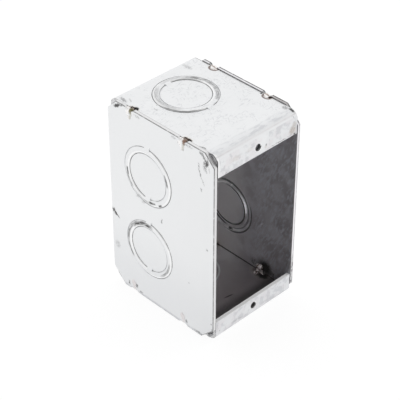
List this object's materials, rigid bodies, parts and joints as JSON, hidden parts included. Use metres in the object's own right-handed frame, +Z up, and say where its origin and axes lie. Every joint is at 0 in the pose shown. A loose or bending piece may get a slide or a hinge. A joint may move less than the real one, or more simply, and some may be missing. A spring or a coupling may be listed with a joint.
{
  "type": "masonry device box",
  "caption": "Welded galvanised sheet wall box for a wiring device: open front with tapped flanges, cut plate corners and concentric knockouts in every closed side.",
  "frame": {"origin": "under the middle of the box, on the surface that the side plates' lower edges stand on", "axes": "+Z up along the device-screw line, -Y out of the open front, +X to the right as seen from the front"},
  "size_m": [0.051, 0.063, 0.097],
  "materials": {
    "galvanised_sheet": "bright galvanised, lightly scuffed",
    "weld_metal": "fused, heat tinted"
  },
  "bodies": {
    "root": {"wrap": "galvanised_sheet", "left_side_plate": "galvanised_sheet", "right_side_plate": "galvanised_sheet", "weld_beads": "weld_metal"}
  },
  "joints": []
}
